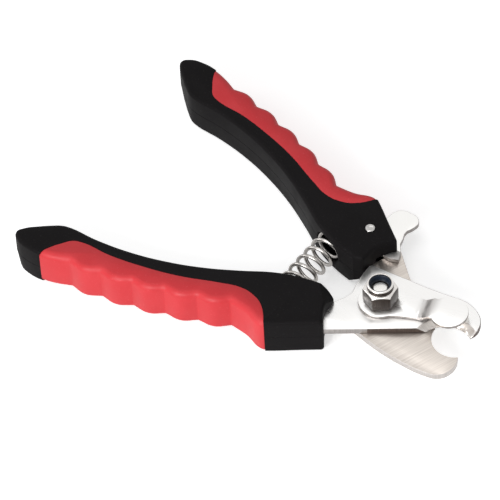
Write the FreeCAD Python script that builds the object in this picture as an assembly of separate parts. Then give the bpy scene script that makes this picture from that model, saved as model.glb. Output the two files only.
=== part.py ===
"""Scissor-type pet nail clipper: two moulded handles with soft grips, two crossing blades on an M6
pivot, a nail guard, a return spring and a lock lever.

Millimetres. The origin is on the pivot axis, midway between the two blades. +X points out of the jaws,
along the line midway between the open handles, +Y towards the upper handle and +Z up, nut side up.
"""
import FreeCAD, Part
import math
import os
from FreeCAD import Vector

# ---- Pivot: an M6 bolt up through both blades and the guard into a lock nut ----
PLATE_T = 2.1              # thickness of each blade
PLATE_GAP = 0.06           # gap between the two blades
PIVOT_R = 3.0              # bolt shank
RUN_CLEAR = 0.05           # radial, for everything that turns on the bolt or the rivet
FACE_CLEAR = 0.05          # axial, beside everything that turns
BOLT_HEAD_R = 5.4
BOLT_HEAD_H = 3.0
BOLT_HEAD_EDGE = 1.2       # height of the straight rim under the dome
SOCKET_AF = 4.0            # hexagon socket in the bolt's head
SOCKET_DEPTH = 1.9
BOLT_TIP_CHAMFER = 0.8
BOLT_SHORT = 2.2           # how far the bolt's tip stays below the top of the nut
NUT_AF = 10.0
NUT_HEX_H = 6.0
NUT_H = 8.0
NUT_FLAT_ANGLE = -52.0     # direction that one flat of the nut faces
NUT_CORNER_CUT = 0.55      # height of the chamfer on the nut's six corners
COLLAR_R = 4.33
COLLAR_ROUND = 0.5
COLLAR_BORE_R = 3.65       # mouth of the collar, above the nylon ring
RING_R = 3.9               # outside of the nylon ring, seated in the collar
RING_HOLE_R = 2.65
RING_H = 1.9
RING_LIP = 0.35            # collar left above the ring

# ---- Handles, both the same moulding, drawn for the upper one (+Y) ----
HANDLE_T = 14.5
EDGE_BEVEL_H = 0.9         # bevel along the top and bottom edges
HEEL_START = (-21.6, 30.6)         # where the round heel meets the straight heel face
FRONT_CORNER = (-7.8, 20.7)        # heel face meets the end face
END_FACE = [(-11.7, 14.2), (-12.4, 8.0)]
NOSE = (-15.8, 7.0)                # the inner edge ends here, the nose's tip is the end of the end face
NOSE_CREASE = [(-18.4, 7.9), (-13.3, 13.1)]    # the nose's underside falls away from this line
NOSE_FALL = 1.12                   # height lost for each millimetre beyond it
HEEL = [(-23.2, 31.8), (-25.4, 32.1), (-31.2, 30.3)]
GRIP_FRONT = (-38.0, 29.6)         # first valley between the finger bumps
GRIP_REAR = (-90.6, 45.1)          # last valley
GRIP_ARC_R = 208.0                 # the valleys lie on this arc
BUMPS = 5
BUMP_H = 1.5
TAIL = [(-95.4, 47.1), (-100.2, 48.3), (-105.8, 48.5), (-110.3, 47.3), (-112.4, 44.9),
        (-111.2, 42.4), (-107.6, 39.0), (-103.8, 36.0), (-102.2, 34.9), (-100.1, 34.0)]
INNER_EDGE = [(-88.1, 33.1), (-76.3, 31.2), (-64.1, 27.7), (-52.7, 23.0), (-42.8, 17.7),
              (-32.8, 11.9), (-25.0, 8.9)]

# ---- Soft grips: a skin over the outer side of each handle ----
GRIP_LINE = [(-101.2, 50.4), (-99.3, 45.3), (-96.4, 40.6), (-94.5, 38.3), (-91.6, 37.1),
             (-81.0, 36.4), (-70.0, 34.4), (-57.3, 30.9), (-44.7, 25.8), (-38.0, 23.6),
             (-32.6, 23.9), (-28.0, 26.1), (-22.4, 32.6)]
SKIN_SIDE = 2.4            # rubber over the side of the core
SKIN_FACE = 1.6            # rubber over the top and bottom of the core
CORE_FRONT_X = -31.5       # ends of the core's ridge under the rubber
CORE_REAR_X = -92.0
CORE_ROOT = [(-92.0, 35.5), (-57.0, 28.2), (-31.5, 19.0)]

# ---- Tangs of the blades, moulded into the handles, drawn for the upper one ----
TANG_OUTER = [(-20.0, 24.6), (-32.0, 23.0), (-40.0, 25.2), (-49.0, 29.4)]
TANG_INNER = [(-50.5, 25.2), (-34.0, 18.2), (-21.0, 16.2), (-14.4, 12.0)]
BLADE_NECK = [(-12.2, 7.8), (-10.7, 5.0), (-9.9, 1.8), (-11.3, -4.6)]
SHOULDER = (-11.75, -10.2)         # the corner that stops the opening handles

# ---- Jaws ----
UPPER_EDGE_START = (-10.6, 21.4)   # straight front edge of the upper jaw's blade, before mirroring
UPPER_BACK = [(-10.9, -11.1), (-9.8, -11.3), (-3.5, -11.8), (2.7, -12.6), (11.7, -13.6),
              (20.3, -15.2), (24.6, -15.1), (28.4, -13.6), (31.2, -11.0), (32.3, -8.2), (32.3, -6.6)]
UPPER_TIP = (31.7, -5.1)
UPPER_NOTCH = (26.9, 2.9)          # centre of the round cutting edge
UPPER_NOTCH_R = 8.8
UPPER_EDGE_END = (18.3, 1.05)
LOWER_EDGE_START = (-9.8, 22.3)
LOWER_EDGE_CORNER = (-7.8, 22.5)
LOWER_EDGE_KNEE = (1.1, 14.8)
LOWER_BACK = [(-10.9, -11.2), (-9.8, -11.5), (-3.5, -12.5), (2.0, -13.5), (11.0, -14.9),
              (20.0, -15.2), (24.6, -15.0), (29.0, -14.2), (32.2, -12.2), (33.5, -9.3), (33.6, -6.8)]
LOWER_TIP = (33.0, -4.3)
LOWER_NOTCH = (27.4, 2.1)
LOWER_NOTCH_R = 7.6
LOWER_EDGE_END = (19.5, 2.0)
EDGE_BEVEL = 2.1           # width of the ground bevel behind each cutting edge
EDGE_LAND = 0.15           # thickness left at the cutting edge

# ---- Nail guard: an eye under the nut, an arm with a step, and a round paddle over the jaws ----
GUARD_T = 1.2
GUARD_ANGLE = 16.8         # direction of the arm
GUARD_EYE_R = 7.3
GUARD_NECK = (11.5, 4.35)  # along the arm, half width
GUARD_FLARE = 1.4          # half width more where the arm leaves the eye
GUARD_TAPER = 0.2          # half width less where it meets the paddle
GUARD_STEP_START = 14.4
GUARD_STEP_END = 17.4
GUARD_RISE = 2.0
PADDLE_AT = 22.9
PADDLE_R = 6.25

# ---- Return spring, seated in a round pocket in each handle ----
SPRING_X = -28.4
COIL_R = 4.45              # to the middle of the wire
WIRE_R = 0.55
SPRING_TURNS = 7
POCKET_Y = 15.3            # floor of the pocket
POCKET_CLEAR = 0.4
SEAT_CLEAR = 0.05          # spring's end to the pocket's floor

# ---- Lock lever on a rivet through the upper handle ----
LEVER_T = 1.5
LEVER_SWING = 20.0         # turns clockwise this far to lock
RIVET = (-18.0, 19.9)
RIVET_R = 1.2
RIVET_HEAD_R = 1.65
RIVET_HEAD_H = 0.4
RIVET_ROUND = 0.36         # rounding of the head's rim
RIVET_SEAT = 0.3           # depth of the head's seat in the handle
LEVER_BOSS_R = 3.6
LEVER_BACK = [(-19.6, 24.0), (-19.2, 29.5), (-18.7, 32.6)]
LEVER_PADDLE = [(-17.2, 35.6), (-13.6, 36.5), (-10.2, 35.9), (-8.9, 33.8), (-9.1, 32.2)]
LEVER_NECK = [(-10.2, 29.6), (-10.2, 28.0), (-9.4, 26.0), (-8.9, 23.8), (-6.5, 20.6)]
LEVER_HOOK = [(-5.5, 17.9), (-8.6, 16.7), (-13.0, 17.0)]
SLOT_CLEAR = 0.3
SLOT_STEPS = 5

# ---- Levels and directions that follow ----
UPPER_JAW_Z = PLATE_GAP / 2                 # underside of the upper jaw's blade
LOWER_JAW_Z = -PLATE_GAP / 2 - PLATE_T      # underside of the lower jaw's blade
GUARD_Z = UPPER_JAW_Z + PLATE_T + FACE_CLEAR
NUT_Z = GUARD_Z + GUARD_T + FACE_CLEAR
NUT_TOP = NUT_Z + NUT_H
HEAD_TOP = LOWER_JAW_Z - FACE_CLEAR
LEVER_Z = -PLATE_GAP / 2 + FACE_CLEAR
UP = Vector(0, 0, 1)
LEVEL = 0.01                                # how far from a level an edge may lie and count as on it
TALL = 4 * HANDLE_T                         # longer than any cut has to be


def at(point, z=0.0):
    """A plan point as a vector."""
    return Vector(point[0], point[1], z)


def line(start, end):
    return Part.LineSegment(at(start), at(end)).toShape()


def polyline(points):
    return [line(a, b) for a, b in zip(points, points[1:])]


def arc(start, middle, end):
    return Part.Arc(at(start), at(middle), at(end)).toShape()


def arcs(points):
    """A run of arcs: each starts where the last one ends, and passes through the point between."""
    return [arc(*points[k:k + 3]) for k in range(0, len(points) - 2, 2)]


def prism(edges, z, height):
    """The solid over a closed plan outline."""
    face = Part.Face(Part.Wire(edges))
    face.translate(Vector(0, 0, z))
    return face.extrude(Vector(0, 0, height))


def inset(points, depth):
    """A closed outline, given anticlockwise, moved inwards."""
    moved = []
    for k, point in enumerate(points):
        sides = [(points[k - 1], point), (point, points[(k + 1) % len(points)])]
        (ax, ay), (bx, by) = [left_of(*side) for side in sides]
        reach = depth / (1 + ax * bx + ay * by)
        moved.append((point[0] + reach * (ax + bx), point[1] + reach * (ay + by)))
    return moved


def left_of(start, end):
    """Unit vector to the left of a plan direction."""
    length = math.hypot(end[0] - start[0], end[1] - start[1])
    return ((start[1] - end[1]) / length, (end[0] - start[0]) / length)


def ruled_solid(rings):
    """The solid between stacked rings of edges that match one to one."""
    faces = [Part.Face(Part.Wire(rings[0])), Part.Face(Part.Wire(rings[-1]))]
    for low, high in zip(rings, rings[1:]):
        faces += [Part.makeRuledSurface(a, b) for a, b in zip(low, high)]
    shell = Part.makeShell(faces)
    shell.sewShape()
    solid = Part.makeSolid(shell)
    if solid.Volume < 0:
        solid.reverse()
    return solid


def cylinder(radius, z, height, centre=(0.0, 0.0)):
    return Part.makeCylinder(radius, height, at(centre, z))


def edges_at(shape, z):
    """The edges of a shape that lie level, at one height."""
    return [e for e in shape.Edges if abs(e.BoundBox.ZMin - z) < LEVEL and e.BoundBox.ZLength < LEVEL]


def mirrored(shape):
    """The mirror image on the -Y side."""
    return shape.mirror(Vector(0, 0, 0), Vector(0, 1, 0))


def turned_over(shape):
    """The same moulding, upside down on the -Y side."""
    lower = shape.copy()
    lower.rotate(Vector(0, 0, 0), Vector(1, 0, 0), 180)
    return lower


def polar(radius, degrees):
    angle = math.radians(degrees)
    return (radius * math.cos(angle), radius * math.sin(angle))


def hexagon(across_flats, flat_angle, z, height):
    corner_r = across_flats / 2 / math.cos(math.radians(30))
    corners = [polar(corner_r, flat_angle + 30 + 60 * k) for k in range(7)]
    return prism(polyline(corners), z, height)


# ---- Handles and grips ----

def grip_arc_centre():
    """Centre of the arc that the valleys between the finger bumps lie on."""
    middle = ((GRIP_FRONT[0] + GRIP_REAR[0]) / 2, (GRIP_FRONT[1] + GRIP_REAR[1]) / 2)
    chord = math.hypot(GRIP_FRONT[0] - GRIP_REAR[0], GRIP_FRONT[1] - GRIP_REAR[1])
    along = ((GRIP_FRONT[0] - GRIP_REAR[0]) / chord, (GRIP_FRONT[1] - GRIP_REAR[1]) / chord)
    drop = math.sqrt(GRIP_ARC_R ** 2 - (chord / 2) ** 2)
    return (middle[0] + along[1] * drop, middle[1] - along[0] * drop)


def finger_bumps():
    """Plan points along the bumps, from the front valley to the rear one."""
    centre = grip_arc_centre()
    first = math.atan2(GRIP_FRONT[1] - centre[1], GRIP_FRONT[0] - centre[0])
    last = math.atan2(GRIP_REAR[1] - centre[1], GRIP_REAR[0] - centre[0])
    points = []
    for k in range(2 * BUMPS + 1):
        angle = first + (last - first) * k / (2 * BUMPS)
        radius = GRIP_ARC_R + BUMP_H * (k % 2)
        points.append((centre[0] + radius * math.cos(angle), centre[1] + radius * math.sin(angle)))
    return points


def handle_block():
    """The whole moulding, grip included, with bevelled top and bottom edges."""
    run = [HEEL_START] + HEEL + finger_bumps() + TAIL + INNER_EDGE + [NOSE]
    outline = run + END_FACE[::-1] + [FRONT_CORNER]

    def ring(depth, z):
        moved = inset(outline, depth)
        edges = arcs(moved[:len(run)]) + polyline(moved[len(run) - 1:] + moved[:1])
        for edge in edges:
            edge.translate(Vector(0, 0, z))
        return edges

    top = HANDLE_T / 2
    return ruled_solid([ring(EDGE_BEVEL_H, -top), ring(0, EDGE_BEVEL_H - top),
                        ring(0, top - EDGE_BEVEL_H), ring(EDGE_BEVEL_H, top)])


def grip_zone():
    """Everything on the outer side of the line where rubber meets plastic."""
    front, rear = GRIP_LINE[-1], GRIP_LINE[0]
    beyond = [front, (front[0], rear[1] + HANDLE_T), (rear[0], rear[1] + HANDLE_T), rear]
    return prism(arcs(GRIP_LINE) + polyline(beyond), -TALL / 2, TALL)


def core_ridge():
    """The part of the core that the rubber is moulded over."""
    centre = grip_arc_centre()
    radius = GRIP_ARC_R - SKIN_SIDE

    def on_arc(x):
        return (x, centre[1] + math.sqrt(radius ** 2 - (x - centre[0]) ** 2))

    front = on_arc(CORE_FRONT_X - SKIN_SIDE)
    rear = on_arc(CORE_REAR_X)
    middle = on_arc((front[0] + rear[0]) / 2)
    sides = polyline([rear] + CORE_ROOT + [front])
    height = HANDLE_T - 2 * SKIN_FACE
    return prism([arc(front, middle, rear)] + sides, -height / 2, height)


def spring_pocket():
    radius = COIL_R + WIRE_R + POCKET_CLEAR
    return Part.makeCylinder(radius, POCKET_Y, Vector(SPRING_X, 0, 0), Vector(0, 1, 0))


def under_nose():
    """What is cut away beyond the crease, so that the nose's tip comes down to the blade."""
    start, end = [at(point, -HANDLE_T / 2) for point in NOSE_CREASE]
    along = (end - start).normalize()
    beyond = Vector(along.y, -along.x, 0) * HANDLE_T
    first = start - along * TALL
    corners = [first, first + beyond, first + beyond + Vector(0, 0, NOSE_FALL * HANDLE_T), first]
    return Part.Face(Part.makePolygon(corners)).extrude(along * 2 * TALL)


def make_handle_and_grip():
    block = handle_block().cut(under_nose())
    zone = grip_zone()
    ridge = core_ridge()
    grip = block.common(zone).cut(ridge)
    handle = block.cut(zone).fuse(ridge).removeSplitter().cut(spring_pocket())
    return handle, grip


# ---- Blades ----

def tang_and_neck(edge_start):
    """Edges from the outer side of the tang round its end and along the neck to the shoulder."""
    edges = polyline([edge_start] + TANG_OUTER + TANG_INNER + [BLADE_NECK[0]])
    return edges + arcs(BLADE_NECK + [SHOULDER])


def direction(centre, point):
    return math.degrees(math.atan2(point[1] - centre[1], point[0] - centre[0]))


def notch_edge(tip, root, centre, radius):
    """The round cutting edge, clockwise from the tip of the jaw to its root."""
    first = direction(centre, tip)
    sweep = (first - direction(centre, root)) % 360
    spokes = [polar(radius, first - sweep * share) for share in (0, 0.5, 1)]
    return [(centre[0] + x, centre[1] + y) for x, y in spokes]


def blade_plate(edge_run, back, tip, edge_end, centre, radius):
    """A blade with its jaw towards -Y and its tang towards +Y; the cutting edge lies at z = 0."""
    start, middle, end = notch_edge(tip, edge_end, centre, radius)
    edges = tang_and_neck(edge_run[0])
    edges += arcs([SHOULDER] + back + [start, middle, end])
    edges += polyline([end] + edge_run[::-1])
    plate = prism(edges, 0, PLATE_T)
    slope = EDGE_BEVEL / (PLATE_T - EDGE_LAND)
    low = radius - slope * EDGE_LAND
    cone = Part.makeCone(low, radius + EDGE_BEVEL, PLATE_T, at(centre))
    hole = cylinder(PIVOT_R + RUN_CLEAR, 0, PLATE_T)
    return plate.cut(cone).cut(hole)


def make_lower_jaw_blade():
    """Turned over, so that its bevel is underneath. The rivet of the lock lever passes through it."""
    run = [LOWER_EDGE_START, LOWER_EDGE_CORNER, LOWER_EDGE_KNEE]
    blade = blade_plate(run, LOWER_BACK, LOWER_TIP, LOWER_EDGE_END, LOWER_NOTCH, LOWER_NOTCH_R)
    blade = blade.mirror(Vector(0, 0, 0), UP)
    blade.translate(Vector(0, 0, -PLATE_GAP / 2))
    return blade.cut(cylinder(RIVET_R, -TALL / 2, TALL, RIVET))


def make_upper_jaw_blade():
    run = [UPPER_EDGE_START]
    blade = blade_plate(run, UPPER_BACK, UPPER_TIP, UPPER_EDGE_END, UPPER_NOTCH, UPPER_NOTCH_R)
    blade = mirrored(blade)
    blade.translate(Vector(0, 0, UPPER_JAW_Z))
    return blade


# ---- Pivot ----

def make_pivot_bolt():
    tip_z = NUT_TOP - BOLT_SHORT
    shank = cylinder(PIVOT_R, HEAD_TOP, tip_z - HEAD_TOP)
    shank = shank.makeChamfer(BOLT_TIP_CHAMFER, edges_at(shank, tip_z))
    rim = cylinder(BOLT_HEAD_R, HEAD_TOP - BOLT_HEAD_EDGE, BOLT_HEAD_EDGE)
    dome_h = BOLT_HEAD_H - BOLT_HEAD_EDGE
    ball_r = (BOLT_HEAD_R ** 2 + dome_h ** 2) / (2 * dome_h)
    dome = Part.makeSphere(ball_r, Vector(0, 0, HEAD_TOP - BOLT_HEAD_H + ball_r))
    dome = dome.common(cylinder(BOLT_HEAD_R, HEAD_TOP - BOLT_HEAD_H, dome_h))
    head = rim.fuse(dome).removeSplitter()
    socket = hexagon(SOCKET_AF, 0, HEAD_TOP - BOLT_HEAD_H, SOCKET_DEPTH)
    return head.fuse(shank).removeSplitter().cut(socket)


def make_lock_nut():
    body = hexagon(NUT_AF, NUT_FLAT_ANGLE, NUT_Z, NUT_HEX_H)
    corner_r = NUT_AF / 2 / math.cos(math.radians(30))
    run_in = NUT_CORNER_CUT * math.sqrt(3)
    straight = NUT_HEX_H - 2 * NUT_CORNER_CUT
    mid = cylinder(corner_r, NUT_Z + NUT_CORNER_CUT, straight)
    low = Part.makeCone(corner_r - run_in, corner_r, NUT_CORNER_CUT, Vector(0, 0, NUT_Z))
    high_z = NUT_Z + NUT_HEX_H - NUT_CORNER_CUT
    high = Part.makeCone(corner_r, corner_r - run_in, NUT_CORNER_CUT, Vector(0, 0, high_z))
    body = body.common(low.fuse([mid, high]).removeSplitter())
    collar = cylinder(COLLAR_R, NUT_Z + NUT_HEX_H / 2, NUT_H - NUT_HEX_H / 2)
    collar = collar.makeFillet(COLLAR_ROUND, edges_at(collar, NUT_TOP))
    nut = body.fuse(collar).removeSplitter()
    nut = nut.cut(cylinder(PIVOT_R, NUT_Z, NUT_H))
    nut = nut.cut(cylinder(COLLAR_BORE_R, NUT_TOP - RING_LIP, RING_LIP))
    return nut.cut(cylinder(RING_R, NUT_TOP - RING_LIP - RING_H, RING_H))


def make_nylon_ring():
    z = NUT_TOP - RING_LIP - RING_H
    ring = cylinder(RING_R, z, RING_H).cut(cylinder(RING_HOLE_R, z, RING_H))
    return ring.cut(make_pivot_bolt())


# ---- Nail guard ----

def make_nail_guard():
    eye = (0.0, 0.0)
    paddle = (PADDLE_AT, 0.0)
    spread = GUARD_NECK[1] + GUARD_FLARE
    eye_x = math.sqrt(GUARD_EYE_R ** 2 - spread ** 2)
    paddle_y = GUARD_NECK[1] - GUARD_TAPER
    paddle_x = PADDLE_AT - math.sqrt(PADDLE_R ** 2 - paddle_y ** 2)
    upper = arc((eye_x, spread), GUARD_NECK, (paddle_x, paddle_y))
    lower = arc((paddle_x, -paddle_y), (GUARD_NECK[0], -GUARD_NECK[1]), (eye_x, -spread))
    ends = [line((paddle_x, paddle_y), (paddle_x, -paddle_y)), line((eye_x, -spread), (eye_x, spread))]
    plan = prism([upper, ends[0], lower, ends[1]], 0, TALL)
    plan = plan.fuse([cylinder(GUARD_EYE_R, 0, TALL, eye), cylinder(PADDLE_R, 0, TALL, paddle)])
    side = [(-GUARD_EYE_R, 0), (GUARD_STEP_START, 0), (GUARD_STEP_END, GUARD_RISE),
            (PADDLE_AT + PADDLE_R, GUARD_RISE), (PADDLE_AT + PADDLE_R, GUARD_RISE + GUARD_T),
            (GUARD_STEP_END - GUARD_T / 3, GUARD_RISE + GUARD_T),
            (GUARD_STEP_START - GUARD_T / 3, GUARD_T), (-GUARD_EYE_R, GUARD_T),
            (-GUARD_EYE_R, 0)]
    corners = [Vector(x, -GUARD_EYE_R, z) for x, z in side]
    strip = Part.Face(Part.makePolygon(corners)).extrude(Vector(0, 2 * GUARD_EYE_R, 0))
    guard = plan.common(strip).removeSplitter()
    guard = guard.cut(cylinder(PIVOT_R + RUN_CLEAR, 0, GUARD_T))
    guard.rotate(Vector(0, 0, 0), UP, GUARD_ANGLE)
    guard.translate(Vector(0, 0, GUARD_Z))
    return guard


# ---- Return spring ----

def make_return_spring():
    """Half turns, tilted to and fro, that meet at a tangent and climb like a helix."""
    ends = POCKET_Y - SEAT_CLEAR - WIRE_R
    rise = ends / SPRING_TURNS
    tilt = math.degrees(math.atan2(rise / 2, COIL_R))
    halves = []
    for k in range(2 * SPRING_TURNS):
        half = Part.makeTorus(math.hypot(COIL_R, rise / 2), WIRE_R, at((0, 0)), UP, 0, 360, 180)
        half.rotate(at((0, 0)), Vector(0, 1, 0), tilt)
        half.rotate(at((0, 0)), UP, 180 * k)
        half.translate(Vector(0, 0, rise * (k + 0.5) - ends))
        halves.append(half)
    coil = halves[0].fuse(halves[1:])
    coil.rotate(at((0, 0)), Vector(1, 0, 0), -90)
    coil.translate(Vector(SPRING_X, 0, 0))
    return coil


# ---- Lock lever and its rivet ----

def lever_plate(grow, z, height):
    """The lever unlocked, grown all round by a clearance."""
    boss_angle = 200
    boss = polar(LEVER_BOSS_R, boss_angle)
    back = (RIVET[0] + boss[0], RIVET[1] + boss[1])
    edges = polyline([back] + LEVER_BACK)
    edges += arcs([LEVER_BACK[-1]] + LEVER_PADDLE + LEVER_NECK[:1])
    edges += polyline(LEVER_NECK + LEVER_HOOK)
    low = polar(LEVER_BOSS_R, 270)
    edges += polyline([LEVER_HOOK[-1], (RIVET[0] + low[0], RIVET[1] + low[1]), back])
    face = Part.Face(Part.Wire(edges))
    if grow:
        face = face.makeOffset2D(grow)
    face.translate(Vector(0, 0, z))
    plate = face.extrude(Vector(0, 0, height))
    return plate.fuse(cylinder(LEVER_BOSS_R + grow, z, height, RIVET)).removeSplitter()


def make_lock_lever():
    plate = lever_plate(0, LEVER_Z, LEVER_T)
    return plate.cut(cylinder(RIVET_R + RUN_CLEAR, -TALL / 2, TALL, RIVET))


def lever_slot():
    """All that the lever sweeps, with clearance. Its floor is the blade's tang."""
    z = -PLATE_GAP / 2
    sweep = []
    for k in range(SLOT_STEPS):
        step = lever_plate(SLOT_CLEAR, z, LEVER_Z + LEVER_T + SLOT_CLEAR - z)
        step.rotate(at(RIVET), UP, -LEVER_SWING * k / (SLOT_STEPS - 1))
        sweep.append(step)
    return sweep[0].fuse(sweep[1:]).removeSplitter()


def make_lever_rivet():
    """Flush underneath, with a low domed head on top."""
    seat = HANDLE_T / 2 - RIVET_SEAT
    shank = cylinder(RIVET_R, -HANDLE_T / 2, HANDLE_T - RIVET_SEAT, RIVET)
    head_h = RIVET_SEAT + RIVET_HEAD_H
    head = cylinder(RIVET_HEAD_R, seat, head_h, RIVET)
    head = head.makeFillet(RIVET_ROUND, edges_at(head, seat + head_h))
    return shank.fuse(head).removeSplitter()


def build():
    handle, grip = make_handle_and_grip()
    upper_jaw = make_upper_jaw_blade()
    lower_jaw = make_lower_jaw_blade()
    rivet = make_lever_rivet()
    upper_handle = handle.cut(lower_jaw).cut(lever_slot()).cut(rivet)
    lower_handle = turned_over(handle).cut(upper_jaw)
    return {
        "lower_handle": lower_handle,
        "lower_grip": turned_over(grip),
        "upper_handle": upper_handle,
        "upper_grip": grip,
        "upper_jaw_blade": upper_jaw,
        "lower_jaw_blade": lower_jaw,
        "pivot_bolt": make_pivot_bolt(),
        "lock_nut": make_lock_nut(),
        "nut_nylon_ring": make_nylon_ring(),
        "nail_guard": make_nail_guard(),
        "return_spring": make_return_spring(),
        "lock_lever": make_lock_lever(),
        "lever_rivet": rivet,
    }


def main():
    os.makedirs("parts", exist_ok=True)
    for name, shape in build().items():
        solids = shape.Solids
        box = shape.BoundBox
        print(name, "solids", len(solids), "valid", shape.isValid(), "volume", round(shape.Volume, 2),
              "box", [round(v, 2) for v in (box.XMin, box.YMin, box.ZMin, box.XMax, box.YMax, box.ZMax)])
        body = solids[0] if len(solids) == 1 else Part.makeCompound(solids)
        body.exportStep(os.path.join("parts", name + ".step"))


main()
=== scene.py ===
"""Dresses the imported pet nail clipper: moulded handles, soft grips, blades, nut, guard, spring and lever.

Blender works in metres. Lengths and places below are in millimetres, and MM turns them into metres;
only the lamps' sizes and distances are given in metres.
"""
import bpy
import math
from mathutils import Matrix, Vector


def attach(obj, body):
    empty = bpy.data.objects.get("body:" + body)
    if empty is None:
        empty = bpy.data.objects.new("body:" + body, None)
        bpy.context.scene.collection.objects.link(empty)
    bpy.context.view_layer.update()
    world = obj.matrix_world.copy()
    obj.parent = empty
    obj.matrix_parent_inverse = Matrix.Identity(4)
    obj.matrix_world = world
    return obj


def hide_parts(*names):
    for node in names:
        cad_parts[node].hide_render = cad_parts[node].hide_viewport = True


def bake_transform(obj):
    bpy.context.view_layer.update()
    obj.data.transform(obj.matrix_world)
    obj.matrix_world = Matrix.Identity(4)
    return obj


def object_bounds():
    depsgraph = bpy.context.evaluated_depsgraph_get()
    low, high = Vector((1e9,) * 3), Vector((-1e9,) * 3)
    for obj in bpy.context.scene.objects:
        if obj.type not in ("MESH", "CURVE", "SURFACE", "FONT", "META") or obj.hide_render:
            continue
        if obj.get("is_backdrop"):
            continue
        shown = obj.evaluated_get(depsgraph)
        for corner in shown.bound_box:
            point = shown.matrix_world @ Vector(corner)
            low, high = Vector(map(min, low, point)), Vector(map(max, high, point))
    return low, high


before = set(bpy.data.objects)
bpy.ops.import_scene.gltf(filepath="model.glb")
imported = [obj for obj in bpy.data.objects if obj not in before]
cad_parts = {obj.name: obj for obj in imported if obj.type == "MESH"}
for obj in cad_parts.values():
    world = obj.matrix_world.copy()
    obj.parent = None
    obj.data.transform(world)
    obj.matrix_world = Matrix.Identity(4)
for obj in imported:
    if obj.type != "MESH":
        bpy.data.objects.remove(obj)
cad_low, cad_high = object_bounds()

MM = 0.001
UP = Vector((0, 0, 1))
CUT_MERGE = 0.03                    # points closer than this are one after a cut

# ---- The handle moulding in plan, drawn for the upper handle; the lower one is the same turned over ----
HANDLE_T = 14.5
HEEL_FACE = [(-7.8, 20.7), (-14.7, 25.65)]
HEEL = [(-21.9, 30.9), (-23.4, 31.8), (-25.4, 32.1), (-31.2, 30.3)]
GRIP_FRONT = (-38.0, 29.6)
GRIP_REAR = (-90.6, 45.1)
GRIP_ARC_R = 208.0
BUMPS = 5
BUMP_H = 1.5
TAIL = [(-95.4, 47.1), (-100.2, 48.3), (-105.8, 48.5), (-110.3, 47.3), (-112.4, 44.9), (-111.2, 42.4),
        (-107.6, 39.0), (-103.8, 36.0), (-102.2, 34.9), (-100.1, 34.0)]
BLUNT_END = [(-110.5, 45.0), (-109.5, 39.5), (-104.0, 36.0), (-96.0, 34.0)]
BLUNT_FRONT = [(-24.0, 12.5), (-16.0, 18.0)]
INNER_EDGE = [(-88.1, 33.1), (-76.3, 31.2), (-64.1, 27.7), (-52.7, 23.0), (-42.8, 17.7), (-32.8, 11.9),
              (-25.0, 8.9)]
NOSE = [(-15.8, 7.0), (-12.4, 8.0)]
END_FACE = (-11.7, 14.2)
NOSE_CREASE = [(-18.4, 7.9), (-13.3, 13.1)]
NOSE_FALL = 1.12
EDGE_ROUND = 1.2
NOSE_ROUND = EDGE_ROUND + 0.3       # in plan; with less, the edge's rounding would fold over at a corner
FRONT_ROUND = 0.7                   # the upright edge at the front corner
FRONT_REACH = 2.0                   # that edge's ends lie this close to the corner in plan
GRIP_ROUND = 2.1

# Beyond TAIL_START and below TAIL_FOOT, the tail leans inwards
TAIL_START = -98.0
TAIL_FOOT = -1.0
TAIL_LEAN = 0.93

# The parting line is a groove round the side, in the middle of its height
PARTING_HALF = 0.14                 # half its width
PARTING_DEPTH = 0.10

# Where rubber meets plastic, and two points well outside the handle that close the cutter
GRIP_LINE = [(-101.2, 50.4), (-99.3, 45.3), (-96.4, 40.6), (-94.5, 38.3), (-91.6, 37.1), (-81.0, 36.4),
             (-70.0, 34.4), (-57.3, 30.9), (-44.7, 25.8), (-38.0, 23.6), (-32.6, 23.9), (-28.0, 26.1),
             (-22.4, 32.6)]
GRIP_OUTSIDE = [(-22.4, 65.0), (-101.2, 65.0)]
GRIP_CUTTER_HALF = 20.0             # reaches well above and below the handle
SEAM_ROUND = 0.12

# The slot that the lock lever swings in, its floor and its height
LEVER_SLOT = [(-18.0, 16.0), (-14.4, 15.1), (-10.3, 13.3), (0.0, 12.0), (0.0, 40.0), (-19.0, 40.0),
              (-19.7, 29.5), (-20.2, 24.0), (-21.9, 20.4), (-21.4, 17.8), (-20.0, 16.4)]
SLOT_FLOOR = -0.03
SLOT_H = 1.85

RIVET_AT = (-18.0, 19.9)
RIVET_R = 1.2
RIVET_HALF = 6.9                    # half its length, without the heads
# The head's steps: how much the rim grows or shrinks, and how far it rises
RIVET_HEAD = [(1.37, 0.0), (1.0, 0.32), (0.9, 0.22), (0.6, 0.05), (0.75, -0.16), (0.6, -0.03)]
LOWER_HEAD = 0.55                   # height of the head below against the one above
RIVET_SEAT_R = 1.78
RIVET_SEATS = [(6.95, 8.0), (-8.0, -7.0)]

# The jaws' notches, as centre and radius, and the slope ground round the upper one
UPPER_NOTCH = ((26.9, -2.9), 8.8)
LOWER_NOTCH = ((27.4, 2.1), 7.6)
NOTCH_MARGIN = 0.5                  # what lies this close to a notch's arc belongs to its cutting edge
SLOPE_WIDTH = 3.0
SLOPE_NORMAL = (0.35, 0.985)        # how upright the slope's normal is, least and most
EDGE_PAINTED_BRIGHT_X = 3.0                 # the upper jaw's edge has a painted bright reflection up to here, a painted dark reflection beyond
HOOK_SHADE_Y = 21.0                       # the lever's hook below this has painted shade

GUARD_TURN = 16.8                   # direction of the guard's arm in degrees
GUARD_BENDS = (13.0, 18.5)          # both bends lie between these, along the arm
GUARD_BEND_ROUND = 1.7
GUARD_PAINTED_SHADE = (11.5, 15.5, 16.0, 20.0)   # where the painted shade band begins, is full, is still full and ends

# The mouth of the nylon ring's hole
RING_HOLE_R = 2.95                  # what lies within this lines the hole
RING_MOUTH_Z = 10.5                 # what lies above this is widened
RING_TOP = 11.0
RING_WIDEN = 1.2

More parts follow.
